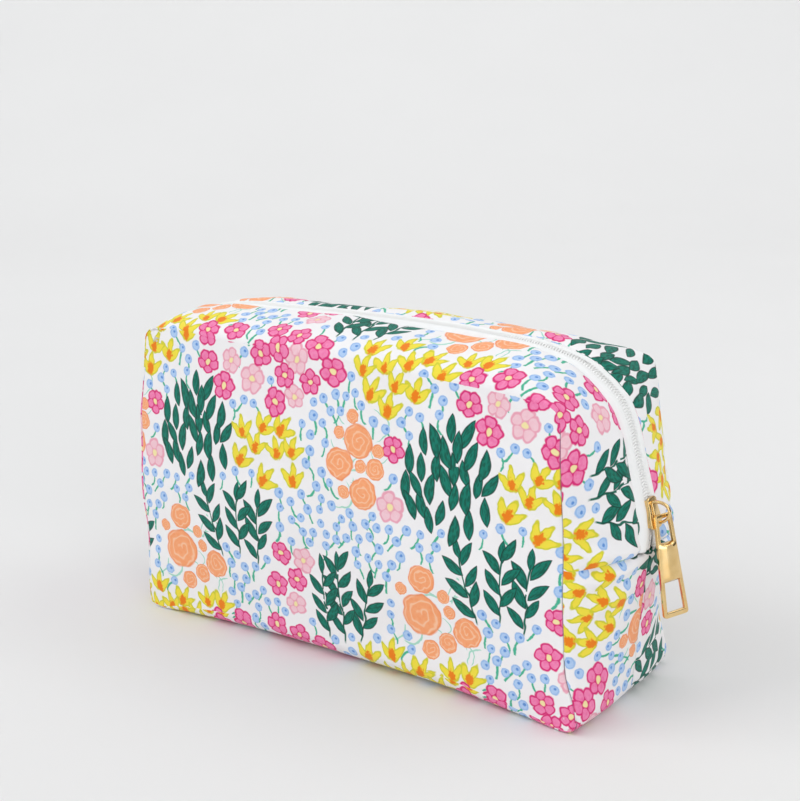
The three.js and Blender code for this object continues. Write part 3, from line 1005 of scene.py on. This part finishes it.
def plain_cloth(name, colour, pitch, roughness=0.85):
    material, n, shader = new_material(name)
    place = n.add("ShaderNodeTexCoord").outputs["Object"]
    mottled = n.noise(place, 140.0, 3.0).outputs["Fac"]
    light = rgb(colour)
    dark = tuple([c * 0.88 for c in light[:3]] + [1.0])
    n.feed(shader, "Base Color", n.mix(n.times(mottled, 0.6), light, dark))
    n.feed_all(shader, {"Roughness": roughness, "Sheen Weight": 0.1})
    scale = n.add("ShaderNodeVectorMath", operation="SCALE")
    n.feed_all(scale, {0: place, "Scale": 1 / MM})
    x, y, z = n.split(scale.outputs[0])
    rib = n.math("SINE", n.times(n.plus(n.plus(x, z), n.times(y, 0.5)), 2 * math.pi / pitch))
    rows = n.math("SINE", n.times(n.minus(n.minus(x, z), n.times(y, 2.0)), 2 * math.pi / pitch))
    add_relief(n, shader, n.times(rib, rows), 0.4, 0.0001)
    return material


def nylon():
    material, n, shader = new_material("nylon_coil")
    place = n.add("ShaderNodeTexCoord").outputs["Object"]
    haze = n.noise(place, 320.0, 2.0).outputs["Fac"]
    n.feed(shader, "Base Color", n.mix(haze, rgb("fcfcfb"), rgb("f4f3f1")))
    n.feed(shader, "Roughness", n.math("MULTIPLY_ADD", haze, 0.15, 0.3))
    return material


def polished_gold():
    material, n, shader = new_material("polished_gold")
    place = n.add("ShaderNodeTexCoord").outputs["Object"]
    patina = n.noise(place, 260.0, 4.0, 0.6).outputs["Fac"]
    n.feed(shader, "Base Color", n.mix(patina, rgb("f5d9a2"), rgb("e0b772")))
    n.feed(shader, "Roughness", n.math("MULTIPLY_ADD", patina, 0.12, 0.12))
    n.feed(shader, "Metallic", 1.0)
    add_relief(n, shader, n.noise(place, 1400.0, 2.0).outputs["Fac"], 0.08, 0.00004)
    return material


# ---------------------------------------------------------------- the cloth pieces

CANVAS = 0.55  # thickness of the outer cloth, in mm
HEM_RADIUS = 0.6
HEM_DEPTH = 5.0
# For each panel, the seed of its waviness and how far its print is shifted along and up.
OUTER = {"front": (1, (0, 0)), "back": (2, (41, 63))}
# For each inner layer, how far it lies inside the outer cloth, how thick it is, and how far from the middle
# of the zipper its upper part ends.
INNER = {"interlining": (2.2, 1.2, 15.0), "lining": (3.9, 0.4, 8.5)}
INNER_SCALE = 0.98  # the inner layers are drawn a little smaller than the outer cloth


def bend_with_mouth(piece):
    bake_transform(piece)


def outer_panel(side_name, material, tile):
    seed, shift = OUTER[side_name]
    panel = Panel(resolution(1), side_name)
    soften(panel, seed)
    panel.turn_hem(HEM_RADIUS, HEM_DEPTH)
    slots = print_slots(panel.flat, tile, shift)
    points, quads, flat = panel.points, panel.quads, panel.flat
    if side_name == "back":
        points = mirrored(points)
        quads = quads[:, ::-1]
        flat = flat[:, ::-1]
        slots = slots[:, :, ::-1]
    piece = mesh_object(f"outer_{side_name}", points, quads.tolist())
    # The seam attribute carries the painted shade of the seams' crevices to the material.
    seams = piece.data.attributes.new("seam", "FLOAT", "POINT")
    seams.data.foreach_set("value", panel.seams.astype(np.float32))
    corner_attribute(piece.data, "flat", np.concatenate([flat, np.zeros(flat.shape[:2] + (1,))], axis=-1))
    for slot in range(SLOTS):
        corner_attribute(piece.data, f"motif_{slot}", slots[slot])
    thicken(piece, CANVAS)
    piece.data.materials.append(material)
    bend_with_mouth(piece)
    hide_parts(f"outer_{side_name}_lower", f"outer_{side_name}_upper")
    return piece


def inner_layer(side_name, layer, material):
    """The interlining or the lining: the same panel, coarser and flatter, set in from the outer cloth."""
    inset, thickness, mouth = INNER[layer]
    panel = Panel(resolution(2), side_name)
    panel.softness = np.minimum(panel.softness, 1.0) * 0.8
    soften(panel, OUTER[side_name][0])
    normals = vertex_normals(panel.points, panel.quads)
    points = panel.points - normals * inset
    middle = np.array([0, 0, SEAM_Z])
    points = middle + (points - middle) * INNER_SCALE
    points[:, 1] = np.minimum(points[:, 1], -0.3)
    corners = points[panel.quads]
    kept = (corners[:, :, 2].mean(axis=1) < SEAM_Z) | (corners[:, :, 1].max(axis=1) < -mouth)
    quads = panel.quads[kept]
    if side_name == "back":
        points = mirrored(points)
        quads = quads[:, ::-1]
    used, quads = np.unique(quads, return_inverse=True)
    piece = mesh_object(f"{layer}_{side_name}", points[used], quads.reshape(-1, 4).tolist())
    thicken(piece, thickness)
    piece.data.materials.append(material)
    bend_with_mouth(piece)
    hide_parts(f"{layer}_{side_name}_lower", f"{layer}_{side_name}_upper")
    return piece


# ---------------------------------------------------------------- the zipper

COIL_PITCH = 1.25
COIL_REACH = 1.15  # half the width of one side's coil, to the middle of its wire
COIL_RISE = 0.4
WIRE = 0.36
TAPE_REACH = 14.0  # from the middle of the zipper to the tape's outer edge
TAPE_THICK = 0.5
COIL_TURN = 12  # points in one turn of the coil
COIL_GAP = 0.02  # between the coil's heads and the middle plane
END_MARGIN = 1.0  # how far the zipper stops short of the end seams
PARTED = 1.5  # how far each tape moves out below the slider


def zipper_path(count):
    """The zipper's line on the middle plane from left to right, its outward directions and its length."""
    points = chain((CENTRE_LEFT_UPPER[::-1], 60), (CENTRE_TOP, 180), (CENTRE_RIGHT_UPPER, 60))
    line = spread_along(points, count, END_MARGIN)
    step = unit(np.gradient(line, axis=0))
    out = np.column_stack([-step[:, 1], step[:, 0]])
    return line, out, arc_lengths(points)[-1] - END_MARGIN - END_MARGIN


def parting(line):
    """How far each tape has moved from the middle: they part below the slider, towards the right end seam."""
    below = smooth_step(SLIDER_CENTRE[2] - 3, SEAM_Z + 1, line[:, 1])
    return PARTED * below * (line[:, 0] > 0)


def zipper_tape(side_name, material):
    """One side's tape: it runs flat beside the coil and then lower, under the edge of the cloth."""
    side = SIDE[side_name]
    line, out, length = zipper_path(300)
    across = np.linspace(0.3, TAPE_REACH, 24)
    sag = 0.5 - 0.45 * smooth_step(2.4, 3.4, across) - 0.25 * bump(across - 4.8, 1.2)
    sag += 1.5 * smooth_step(6.0, MOUTH_Y + 0.6, across)
    drop = 19 * (1 - np.sqrt(1 - (across / HALF_DEPTH) ** 2))
    moved = parting(line)
    points = []
    for y, low in zip(across, sag + drop):
        xz = line - out * low
        apart = y + moved * (1 - y / TAPE_REACH)
        points.append(np.column_stack([xz[:, 0], side * apart, xz[:, 1]]))
    points = np.vstack(points)
    quads = grid_quads(np.arange(len(points)).reshape(len(across), -1))
    if side > 0:
        quads = quads[:, ::-1]
    piece = mesh_object(f"zipper_tape_{side_name}_detail", points, quads.tolist())
    thicken(piece, TAPE_THICK)
    piece.data.materials.append(material)
    bend_with_mouth(piece)
    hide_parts(f"zipper_tape_{side_name}")
    return piece


def tube_faces(count, sides):
    """The faces of a closed tube of count rings: quads round it and one face at each end."""
    ids = np.arange(count * sides).reshape(count, sides)
    quads = grid_quads(np.column_stack([ids, ids[:, 0]]))
    return quads.tolist() + [ids[0][::-1].tolist(), ids[-1].tolist()]


def tube_along(points, radius, sides):
    """The points and faces of a closed tube round a line."""
    tangent = unit(np.gradient(points, axis=0))
    first = unit(np.cross(tangent, (0.31, 0.95, 0.11)))
    second = np.cross(tangent, first)
    angles = np.linspace(0, 2 * math.pi, sides, endpoint=False)[None, :, None]
    rings = points[:, None] + radius * (np.cos(angles) * first[:, None] + np.sin(angles) * second[:, None])
    return rings.reshape(-1, 3), tube_faces(len(points), sides)


def zipper_coil(side_name, material):
    """One side's coil: a flattened helix of wire whose heads meet the other side's on the middle plane."""
    side = SIDE[side_name]
    turns = int(zipper_path(10)[2] / COIL_PITCH)
    line, out, _ = zipper_path(turns * COIL_TURN)
    phase = np.arange(len(line)) * 2 * math.pi / COIL_TURN + (math.pi if side > 0 else 0)
    y = side * (COIL_REACH + COIL_GAP - COIL_REACH * np.cos(phase) + parting(line))
    xz = line + out * (COIL_RISE * np.sin(phase))[:, None]
    points = np.column_stack([xz[:, 0], y, xz[:, 1]])
    piece = mesh_object(f"zipper_coil_{side_name}_detail", *tube_along(points, WIRE, 6))
    piece.data.materials.append(material)
    bend_with_mouth(piece)
    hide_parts(f"zipper_coil_{side_name}")
    return piece


# ---------------------------------------------------------------- the slider, its bail and the pull

SLIDER_LENGTH = 13.0
SLIDER_WIDE = 9.4
SLIDER_NARROW = 7.6
PLATE_TOP = 1.0  # underside of the slider's top plate, above the zipper's line
PLATE_BOTTOM = -3.6  # the upper face of its bottom plate
TOP_PLATE = 1.15  # how thick the two plates are
BOTTOM_PLATE = 1.0
WALL_OUTSIDE = 0.1  # how far the side walls' two faces stand in from the slider's sides
WALL_INSIDE = 0.9
WEDGE = ((0.9, 1.6), (5.4, 0.25))  # distance from the lower end and half width, at the wedge's two ends
SADDLE = (4.6, 1.7)  # half length and half width
BAIL_REACH = 4.3  # from the slider's middle to each foot of the bail
BAIL_ARCH = 6.6
BAIL_SQUAT = 0.93  # the arch's height as a share of BAIL_ARCH
BAIL_WIRE = (0.62, 0.95)  # half thickness and half width
BAIL_SIDES = 14
PULL_LENGTH = 42.0
PULL_TOP = 8.0
PULL_BOTTOM = 12.0
PULL_LEAN = 11.0  # degrees out from straight down
PULL_TWIST = -28.0  # degrees round its own length, towards the front
PULL_ABOVE_PIVOT = 0.8
PULL_HALF_THICK = 0.85
PULL_RIM = 1.55  # the metal beside the two windows
PULL_WINDOWS = ((1.6, 12.1), (27.1, PULL_LENGTH - 2.2))  # from and to, down from the top edge
PULL_MIDDLE = (11.6, 27.6)
MIDDLE_HALF_THICK = 0.7
MIDDLE_CROWN = 1.5  # how far the rounded middle stands out beyond that


def slider_frame():
    """The slider's own frame, on its middle: X up the zipper, Y to the front, Z out of the bag."""
    up = SLIDE_AXIS / np.linalg.norm(SLIDE_AXIS)
    front = (0, -1, 0)
    out = np.cross(up, front)
    place = Matrix.Identity(4)
    for row in range(3):
        place[row] = (up[row], front[row], out[row], SLIDER_CENTRE[row])
    return place


def pull_frame():
    """The pull's own frame: X out of its face, Y across it, Z up its length, on its pivot."""
    lean = Matrix.Rotation(math.radians(-PULL_LEAN), 4, "Y")
    twist = Matrix.Rotation(math.radians(PULL_TWIST), 4, "Z")
    return Matrix.Translation(Vector(PULL_PIVOT)) @ (lean @ twist)


def rounded_loop(corners, radius, steps=5):
    """A closed outline with each corner turned into an arc-like curve."""
    points = []
    count = len(corners)
    for i in range(count):
        here = np.array(corners[i], float)
        before = np.array(corners[i - 1], float) - here
        after = np.array(corners[(i + 1) % count], float) - here
        start = here + before / np.linalg.norm(before) * radius
        end = here + after / np.linalg.norm(after) * radius
        for t in np.linspace(0, 1, steps + 1):
            points.append(start * (1 - t) ** 2 + here * 2 * t * (1 - t) + end * t**2)
    return points


def cut_plate(loops, low, high, bevel, place):
    """A flat plate with rounded edges: its outline and windows lie in its frame's XY, low to high along Z."""
    curve = bpy.data.curves.new("plate", "CURVE")
    curve.dimensions = "2D"
    curve.fill_mode = "BOTH"
    curve.extrude = (high - low) / 2 - bevel
    curve.bevel_depth = bevel
    curve.bevel_resolution = 3
    curve.offset = -bevel
    for loop in loops:
        spline = curve.splines.new("POLY")
        spline.points.add(len(loop) - 1)
        for point, (x, y) in zip(spline.points, loop):
            point.co = (x, y, 0, 1)
        spline.use_cyclic_u = True
    holder = linked("plate", curve)
    mesh = evaluated_mesh(holder)
    bpy.data.objects.remove(holder)
    bpy.data.curves.remove(curve)
    mesh.transform(place @ Matrix.Translation((0, 0, (low + high) / 2)))
    return mesh


def solid_mesh(points, faces, place):
    mesh = bpy.data.meshes.new("solid")
    mesh.from_pydata([tuple(p) for p in points], [], [tuple(f) for f in faces])
    mesh.transform(place)
    return mesh


def metal_piece(name, meshes, material, sharp_angle=35):
    """Joins meshes made in mm into one smooth-shaded piece in metres."""
    joined = bmesh.new()
    for mesh in meshes:
        joined.from_mesh(mesh)
        bpy.data.meshes.remove(mesh)
    bmesh.ops.remove_doubles(joined, verts=joined.verts, dist=0.001)
    bmesh.ops.scale(joined, vec=(MM, MM, MM), verts=joined.verts)
    bmesh.ops.recalc_face_normals(joined, faces=joined.faces)
    mesh = bpy.data.meshes.new(name)
    joined.to_mesh(mesh)
    joined.free()
    piece = linked(name, mesh)
    mesh.polygons.foreach_set("use_smooth", [True] * len(mesh.polygons))
    mesh.set_sharp_from_angle(angle=math.radians(sharp_angle))
    mesh.materials.append(material)
    return piece


def slider_outline():
    """The slider's plan: wide at the lower end where the tapes enter, narrow at the upper end."""
    half, wide, narrow = SLIDER_LENGTH / 2, SLIDER_WIDE / 2, SLIDER_NARROW / 2
    right = [(-half, -wide * 0.62), (-half * 0.86, -wide), (-half * 0.3, -wide), (half * 0.25, -narrow)]
    right += [(half * 0.86, -narrow), (half, -narrow * 0.62)]
    return right + [(x, -y) for x, y in reversed(right)]


def slider_wall(side):
    """The plan of one side wall between the plates."""
    half, wide, narrow = SLIDER_LENGTH / 2, SLIDER_WIDE / 2, SLIDER_NARROW / 2
    wall = [(-half * 0.8, wide - WALL_OUTSIDE), (-half * 0.3, wide - WALL_OUTSIDE)]
    wall += [(half * 0.25, narrow - WALL_OUTSIDE), (half * 0.9, narrow - WALL_OUTSIDE)]
    wall += [(half * 0.9, narrow - WALL_INSIDE), (half * 0.2, narrow - WALL_INSIDE)]
    wall += [(-half * 0.3, wide - WALL_INSIDE), (-half * 0.8, wide - WALL_INSIDE)]
    return rounded_loop([(x, side * y) for x, y in wall], 0.25, 2)


def slider_body(material):
    """Two plates joined by the side walls and the wedge, with the saddle that the bail stands on."""
    place = slider_frame()
    outline = rounded_loop(slider_outline(), 0.7)
    meshes = [
        cut_plate([outline], PLATE_TOP, PLATE_TOP + TOP_PLATE, 0.4, place),
        cut_plate([outline], PLATE_BOTTOM - BOTTOM_PLATE, PLATE_BOTTOM, 0.3, place),
    ]
    for side in (-1, 1):
        meshes.append(cut_plate([slider_wall(side)], -0.15, PLATE_TOP + 0.5, 0.15, place))
    half = SLIDER_LENGTH / 2
    (blunt, blunt_half), (thin, thin_half) = WEDGE
    wedge = [(blunt - half, -blunt_half), (blunt - half, blunt_half)]
    wedge += [(thin - half, thin_half), (thin - half, -thin_half)]
    meshes.append(cut_plate([rounded_loop(wedge, 0.1, 2)], PLATE_BOTTOM - 0.5, PLATE_TOP + 0.5, 0.1, place))
    x, y = SADDLE
    saddle = rounded_loop([(-x, -y), (x, -y), (x, y), (-x, y)], 1.2)
    meshes.append(cut_plate([saddle], PLATE_TOP + 0.6, PLATE_TOP + 1.75, 0.4, place))
    piece = metal_piece("slider_body_detail", meshes, material)
    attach(piece, "slider")
    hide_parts("slider_body")
    return piece


def slider_bail(material):
    """A flat wire that arches over the slider and widens to a foot at each end."""
    s = np.linspace(0, 1, 41)
    x = BAIL_REACH * (-((1 - s) ** 3) - 3 * s * (1 - s) ** 2 + 3 * s**2 * (1 - s) + s**3)
    z = PLATE_TOP + 1.3 + BAIL_ARCH * 4 / 3 * 3 * s * (1 - s) * BAIL_SQUAT
    path = np.column_stack([x, z])
    tangent = unit(np.gradient(path, axis=0))
    normal = np.column_stack([-tangent[:, 1], tangent[:, 0]])
    flare = 1 + 0.45 * (np.abs(2 * s - 1) ** 6)
    half_thick, half_wide = BAIL_WIRE
    points = []
    for (px, pz), (nx, nz), wider in zip(path, normal, flare):
        for angle in np.linspace(0, 2 * math.pi, BAIL_SIDES, endpoint=False):
            thick, across = half_thick * math.cos(angle), half_wide * wider * math.sin(angle)
            points.append((px + nx * thick, across, pz + nz * thick))
    arch = solid_mesh(points, tube_faces(len(path), BAIL_SIDES), slider_frame())
    piece = metal_piece("slider_bail_detail", [arch], material, 60)
    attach(piece, "slider")
    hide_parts("slider_bail")
    return piece


def pull_half_width(down):
    """Half the pull's width at a distance down from its top edge."""
    return (PULL_TOP + (PULL_BOTTOM - PULL_TOP) * down / PULL_LENGTH) / 2


def pull_band(first, last, rim, radius):
    """The outline of a stretch of the pull between two distances down from its top edge, set in by rim."""
    wide_top, wide_low = pull_half_width(first) - rim, pull_half_width(last) - rim
    corners = [(-wide_top, -first), (wide_top, -first), (wide_low, -last), (-wide_low, -last)]
    return rounded_loop(corners, radius)


def crowned_middle(place):
    """The pull's solid middle: a block whose two faces are rounded like a pillow across its width."""
    first, last = PULL_MIDDLE
    rows, cols = 16, 17
    points = []
    for face in (1, -1):
        for i in range(rows + 1):
            down = first + (last - first) * i / rows
            near_end = min(1.0, min(i, rows - i) / rows * (last - first) / 1.2)
            end_share = math.sqrt(near_end * (2 - near_end))
            for u in (2 * j / cols - 1 for j in range(cols + 1)):
                height = MIDDLE_HALF_THICK + MIDDLE_CROWN * (1 - u * u) * end_share
                points.append((u * (pull_half_width(down) - 0.12), -down, face * height))
    front, back = np.arange(len(points)).reshape(2, rows + 1, cols + 1)
    faces = [grid_quads(front), grid_quads(back)[:, ::-1]]
    for rim in ((slice(None), 0), (slice(None), -1), (0, slice(None)), (-1, slice(None))):
        faces.append(grid_quads(np.stack([front[rim], back[rim]])))
    return solid_mesh(points, np.vstack(faces), place)


def zipper_pull(material):
    """A long flat pull with a window near each end and a rounded middle."""
    upright = Matrix(((0, 0, 1, 0), (1, 0, 0, 0), (0, 1, 0, 0), (0, 0, 0, 1)))
    place = pull_frame() @ upright @ Matrix.Translation((0, PULL_ABOVE_PIVOT, 0))
    loops = [pull_band(0, PULL_LENGTH, 0, 1.5)]
    loops += [pull_band(first, last, PULL_RIM, 0.5) for first, last in PULL_WINDOWS]
    plate = cut_plate(loops, -PULL_HALF_THICK, PULL_HALF_THICK, 0.3, place)
    piece = metal_piece("zipper_pull_detail", [plate, crowned_middle(place)], material, 50)
    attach(piece, "pull")
    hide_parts("zipper_pull")
    return piece


# ---------------------------------------------------------------- floor, light and camera

CAMERA_TURN = math.radians(35.17)
CAMERA_RISE = math.radians(14.01)
CAMERA_DISTANCE = 604.0
CAMERA_TARGET = (2.5, 0.0, 111.2)
CAMERA_LENS = 61.3


def place_camera():
    data = bpy.data.cameras.new("camera")
    data.lens = CAMERA_LENS
    data.sensor_width = 36
    data.sensor_fit = "HORIZONTAL"
    data.clip_start = 0.01
    camera = linked("camera", data)
    level = math.cos(CAMERA_RISE)
    back = Vector((math.sin(CAMERA_TURN) * level, -math.cos(CAMERA_TURN) * level, math.sin(CAMERA_RISE)))
    camera.location = (Vector(CAMERA_TARGET) + back * CAMERA_DISTANCE) * MM
    camera.rotation_euler = back.to_track_quat("Z", "Y").to_euler()
    bpy.context.scene.camera = camera


WHITE = (1, 1, 1)
BAG = (0, 0, 0.07)
# Each area light: its name, place and size in metres, power in watts, colour, and the point that it faces.
LIGHTS = [
    ("window", (-2.0, -1.9, 2.4), (2.4, 2.4), 40, (0.985, 0.995, 1.0), BAG),
    ("right_card", (1.5, -0.85, 0.55), (0.9, 1.5), 9, (0.98, 0.99, 1.0), BAG),
    ("backdrop", (-0.2, 0.9, 2.9), (2.4, 1.2), 22, WHITE, (-1.6, 2.3, 1.9)),
    ("right_wash", (1.3, 1.0, 2.0), (1.6, 1.6), 13, WHITE, (0.7, 0.5, 0)),
]


def area_light(name, place, size, power, colour, aim):
    data = bpy.data.lights.new(name, "AREA")
    data.shape = "RECTANGLE"
    data.size, data.size_y = size
    data.energy = power
    data.color = colour
    light = linked(name, data)
    light.location = place
    light.rotation_euler = (Vector(place) - Vector(aim)).to_track_quat("Z", "Y").to_euler()


def paper_sweep():
    """A roll of paper that lies on the floor and curves up behind the bag."""
    back = np.array([-math.sin(CAMERA_TURN), math.cos(CAMERA_TURN)])
    across = np.array([back[1], -back[0]])
    start, radius = 1.3, 1.6
    bend = np.radians(np.linspace(4, 90, 30))
    profile = [(-2.5, 0.0), (0.0, 0.0), (start, 0.0)]
    profile += [(start + radius * math.sin(a), radius * (1 - math.cos(a))) for a in bend]
    profile += [(start + radius, 4.5)]
    points = []
    for along, height in profile:
        for side in (-5, 5):
            x, y = back * along + across * side
            points.append((x / MM, y / MM, height / MM))
    faces = [(2 * i, 2 * i + 1, 2 * i + 3, 2 * i + 2) for i in range(len(profile) - 1)]
    return mesh_object("paper_sweep", points, faces)


def studio_world():
    """Soft light from all round, darker behind the bag's right end, for its metal to reflect."""
    world = bpy.data.worlds.new("studio")
    world.use_nodes = True
    n = Nodes(world.node_tree)
    x, y, z = n.split(n.add("ShaderNodeTexCoord").outputs["Generated"])
    behind_right = n.math("MULTIPLY_ADD", x, 0.8, n.times(y, 0.6))
    dark = n.times(n.above(behind_right, 0.45, 0.9), n.below(z, 0.5, 0.8))
    background = world.node_tree.nodes["Background"]
    n.feed_all(background, {"Color": n.mix(dark, rgb("f6f9fc"), rgb("4a4746")), "Strength": 0.7})
    bpy.context.scene.world = world


def make_stage():
    sweep = paper_sweep()
    material, n, shader = new_material("paper")
    place = n.add("ShaderNodeTexCoord").outputs["Object"]
    n.feed(shader, "Base Color", n.mix(n.noise(place, 3.0).outputs["Fac"], rgb("e5e4e3"), rgb("e9e8e7")))
    n.feed_all(shader, {"Roughness": 0.75, "Specular IOR Level": 0.2})
    sweep.data.materials.append(material)
    studio_world()
    for light in LIGHTS:
        area_light(*light)
    bpy.context.scene.view_settings.view_transform = "Standard"


# ---------------------------------------------------------------- put it together

place_camera()
make_stage()
canvas = printed_canvas()
lining_cloth = plain_cloth("lining_cloth", "efece6", 0.7)
fleece = plain_cloth("fleece", "e9e6de", 1.6, 0.95)
tape_cloth = plain_cloth("tape_cloth", "fbfbfa", 0.9)
coil_nylon = nylon()
gold = polished_gold()
tile = PrintTile(seed=7).grown()
for side_name in ("front", "back"):
    outer_panel(side_name, canvas, tile)
    inner_layer(side_name, "interlining", fleece)
    inner_layer(side_name, "lining", lining_cloth)
    zipper_tape(side_name, tape_cloth)
    zipper_coil(side_name, coil_nylon)

slider_body(gold)
slider_bail(gold)
zipper_pull(gold)
